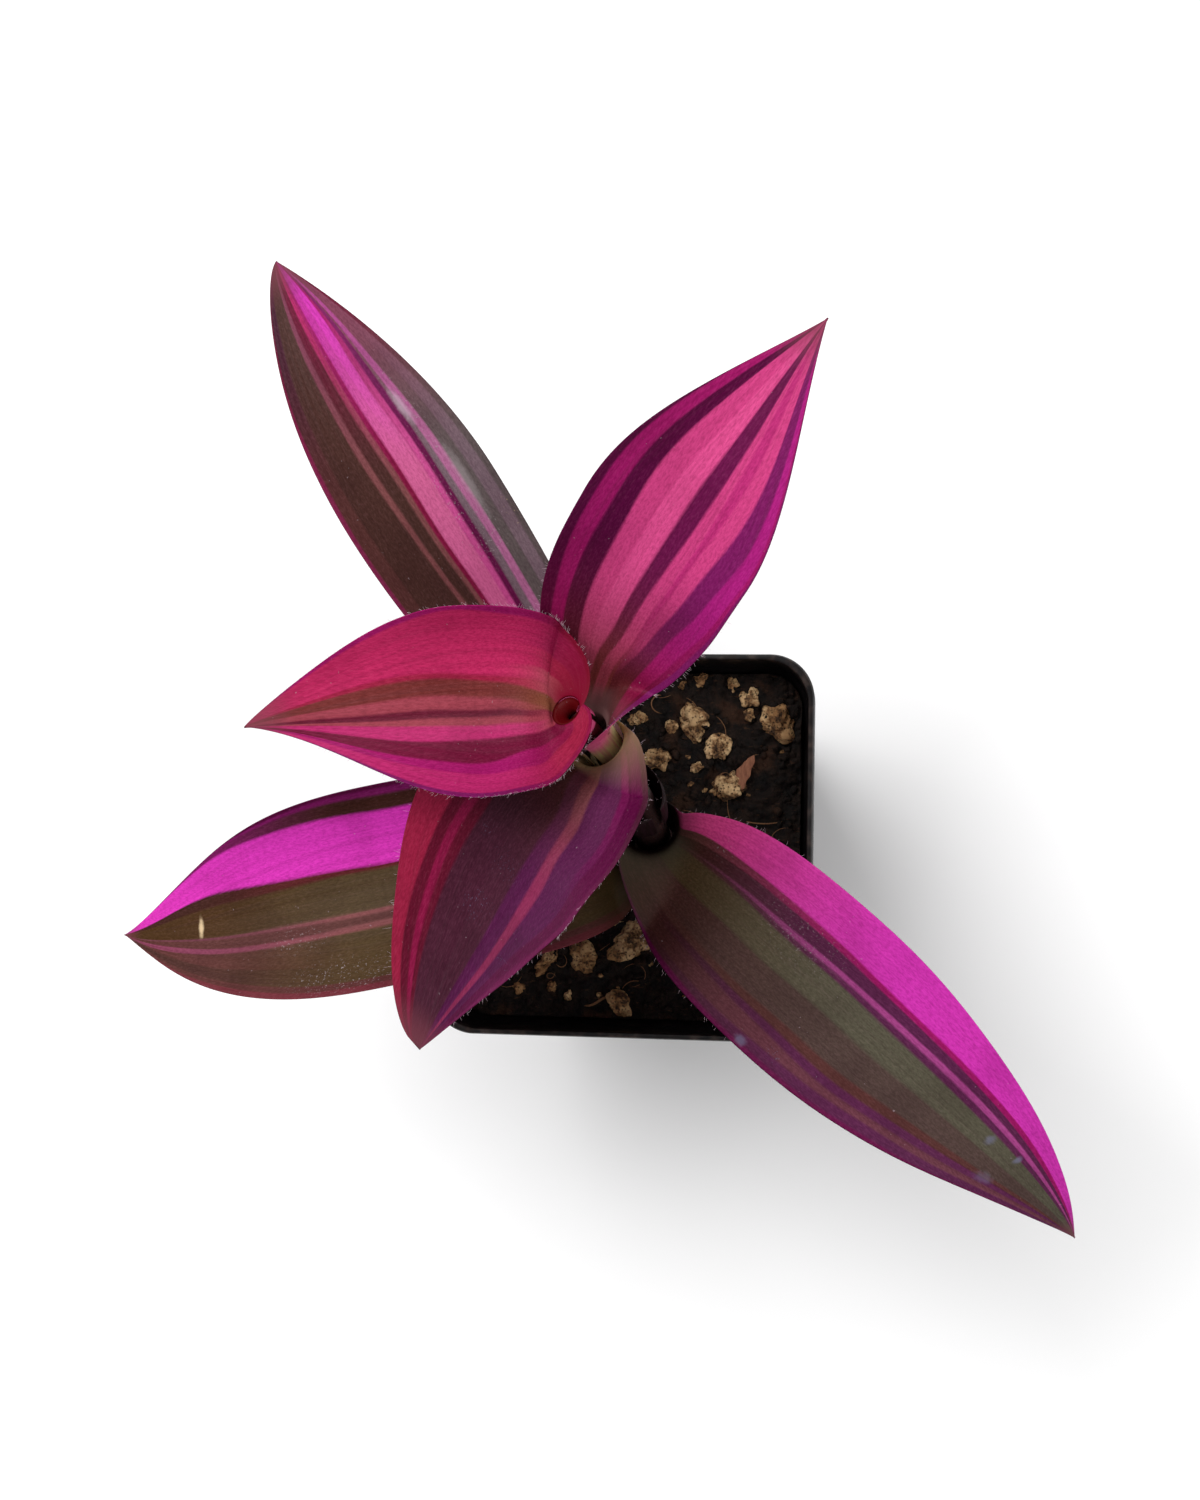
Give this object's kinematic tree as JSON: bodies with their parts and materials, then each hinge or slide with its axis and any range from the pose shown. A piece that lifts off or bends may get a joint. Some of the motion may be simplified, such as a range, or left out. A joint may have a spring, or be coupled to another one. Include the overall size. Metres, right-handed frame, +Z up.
{
  "type": "potted tradescantia",
  "caption": "Small potted tradescantia: pink, magenta and olive striped leaves clasp a leaning stem that grows from peat and perlite in a black square nursery pot",
  "frame": {"origin": "middle of the pot's flat base, on the surface that the pot stands on", "axes": "+Z up along the pot; +X and +Y across the pot's sides, with the long lower leaf pointing to +X -Y"},
  "size_m": [0.1601, 0.1522, 0.1314],
  "materials": {
    "pot_plastic": "satin",
    "peat_mix": "matte",
    "stem_skin": "satin",
    "leaf_olive": "satin",
    "leaf_magenta": "satin",
    "leaf_plum": "satin",
    "leaf_pink": "satin",
    "leaf_crimson": "satin"
  },
  "bodies": {
    "root": {"pot": "pot_plastic", "soil": "peat_mix", "stem": "stem_skin", "leaf_lower_left": "leaf_olive", "leaf_lower_right": "leaf_magenta", "leaf_upper_left": "leaf_olive", "leaf_lower_middle": "leaf_plum", "leaf_upper_right": "leaf_pink", "leaf_top_left": "leaf_crimson"}
  },
  "joints": []
}
